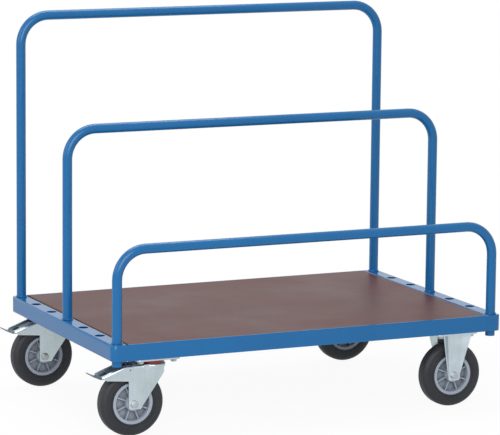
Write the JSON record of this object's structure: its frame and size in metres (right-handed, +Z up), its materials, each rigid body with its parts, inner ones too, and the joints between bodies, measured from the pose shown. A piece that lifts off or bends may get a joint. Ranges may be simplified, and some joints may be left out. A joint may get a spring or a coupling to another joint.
{
  "type": "panel trolley",
  "caption": "Flat deck trolley for sheet material, with tubular bows of rising height standing in socketed end beams, braked swivel casters at one end and fixed casters at the other.",
  "frame": {"origin": "on the floor, in the middle of the cart's plan box, pedals included", "axes": "+X along the deck from the swivel casters to the fixed casters, +Y across it from the low bow to the high bow, +Z up"},
  "size_m": [1.3498, 0.85, 1.192],
  "materials": {
    "blue_paint": "glossy powder coat",
    "deck_film": "smooth film on plywood, semi-gloss",
    "zinc": "bright zinc plate",
    "steel": "plain",
    "red_plastic": "moulded",
    "pad_rubber": "matte",
    "tyre": "matte solid rubber",
    "grey_plastic": "moulded"
  },
  "bodies": {
    "frame": {"front_side_rail": "blue_paint", "rear_side_rail": "blue_paint", "left_end_beam": "blue_paint", "right_end_beam": "blue_paint", "deck_board": "deck_film", "cross_member_1": "blue_paint", "cross_member_2": "blue_paint", "cross_member_3": "blue_paint", "cross_member_4": "blue_paint", "front_left_pad": "blue_paint", "rear_left_pad": "blue_paint", "front_right_pad": "blue_paint", "rear_right_pad": "blue_paint", "deck_screws": "steel", "caster_bolts": "steel", "caster_nuts": "steel", "front_swivel_plate": "zinc", "front_king_pin": "steel", "front_fixed_bracket": "zinc", "front_right_axle": "steel", "front_right_sleeve": "steel", "rear_swivel_plate": "zinc", "rear_king_pin": "steel", "rear_fixed_bracket": "zinc", "rear_right_axle": "steel", "rear_right_sleeve": "steel"},
    "low_bow_body": {"low_bow": "blue_paint"},
    "middle_bow_body": {"middle_bow": "blue_paint"},
    "high_bow_body": {"high_bow": "blue_paint"},
    "front_swivel": {"front_swivel_fork": "zinc", "front_swivel_seal": "red_plastic", "front_swivel_balls": "steel", "front_pedal_pin": "steel", "front_left_axle": "steel", "front_left_sleeve": "steel"},
    "front_pedal": {"front_brake_pedal": "zinc", "front_brake_pad": "pad_rubber"},
    "rear_swivel": {"rear_swivel_fork": "zinc", "rear_swivel_seal": "red_plastic", "rear_swivel_balls": "steel", "rear_pedal_pin": "steel", "rear_left_axle": "steel", "rear_left_sleeve": "steel"},
    "rear_pedal": {"rear_brake_pedal": "zinc", "rear_brake_pad": "pad_rubber"},
    "front_left_wheel": {"front_left_hub": "grey_plastic", "front_left_tyre": "tyre", "front_left_bearing": "steel"},
    "rear_left_wheel": {"rear_left_hub": "grey_plastic", "rear_left_tyre": "tyre", "rear_left_bearing": "steel"},
    "front_right_wheel": {"front_right_hub": "grey_plastic", "front_right_tyre": "tyre", "front_right_bearing": "steel"},
    "rear_right_wheel": {"rear_right_hub": "grey_plastic", "rear_right_tyre": "tyre", "rear_right_bearing": "steel"}
  },
  "joints": [
    {"name": "low_bow_lift", "type": "slide", "parent": "frame", "child": "low_bow_body", "axis": [0, 0, 1], "range_m": [0, 0.068]},
    {"name": "middle_bow_lift", "type": "slide", "parent": "frame", "child": "middle_bow_body", "axis": [0, 0, 1], "range_m": [0, 0.05]},
    {"name": "high_bow_lift", "type": "slide", "parent": "frame", "child": "high_bow_body", "axis": [0, 0, 1], "range_m": [0, 0.05]},
    {"name": "front_swivel_turn", "type": "hinge", "parent": "frame", "child": "front_swivel", "pos_m": [-0.47511, -0.369, 0.216], "axis": [0, 0, 1], "continuous": true},
    {"name": "front_pedal_press", "type": "hinge", "parent": "front_swivel", "child": "front_pedal", "pos_m": [-0.55811, -0.369, 0.2035], "axis": [0, -1, 0], "range_deg": [0, 7.8]},
    {"name": "rear_swivel_turn", "type": "hinge", "parent": "frame", "child": "rear_swivel", "pos_m": [-0.47511, 0.369, 0.216], "axis": [0, 0, 1], "continuous": true},
    {"name": "rear_pedal_press", "type": "hinge", "parent": "rear_swivel", "child": "rear_pedal", "pos_m": [-0.55811, 0.369, 0.2035], "axis": [0, -1, 0], "range_deg": [0, 7.8]},
    {"name": "front_left_roll", "type": "hinge", "parent": "front_swivel", "child": "front_left_wheel", "pos_m": [-0.54511, -0.369, 0.1], "axis": [0, 1, 0], "continuous": true},
    {"name": "rear_left_roll", "type": "hinge", "parent": "rear_swivel", "child": "rear_left_wheel", "pos_m": [-0.54511, 0.369, 0.1], "axis": [0, 1, 0], "continuous": true},
    {"name": "front_right_roll", "type": "hinge", "parent": "frame", "child": "front_right_wheel", "pos_m": [0.52489, -0.369, 0.1], "axis": [0, 1, 0], "continuous": true},
    {"name": "rear_right_roll", "type": "hinge", "parent": "frame", "child": "rear_right_wheel", "pos_m": [0.52489, 0.369, 0.1], "axis": [0, 1, 0], "continuous": true}
  ]
}
